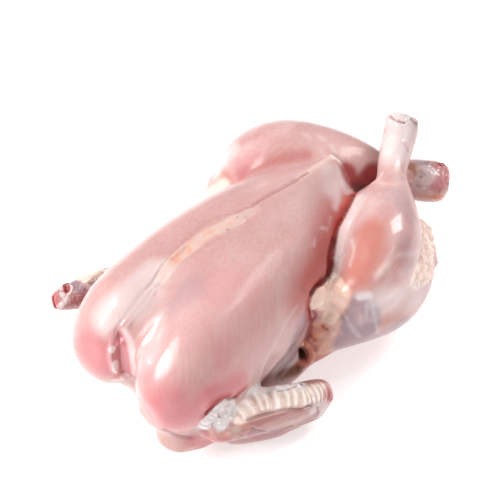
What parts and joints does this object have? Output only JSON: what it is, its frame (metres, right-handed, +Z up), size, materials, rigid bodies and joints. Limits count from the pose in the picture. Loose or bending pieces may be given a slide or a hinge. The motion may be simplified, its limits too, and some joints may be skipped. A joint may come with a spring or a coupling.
{
  "type": "whole skinless chicken",
  "caption": "Raw skinless whole chicken lying on its back, legs crossed over the tail and wings folded, one solid piece of meat.",
  "frame": {"origin": "centre of the bounding box on the surface the bird lies on", "axes": "+X from the neck end to the tail end, +Y towards the bird's left side, +Z up from its back to its breast"},
  "size_m": [0.2132, 0.1444, 0.0953],
  "materials": {
    "raw_meat": "pale pink raw poultry meat with a moist sheen, cream fat and membrane"
  },
  "bodies": {
    "root": {"chicken": "raw_meat"}
  },
  "joints": []
}
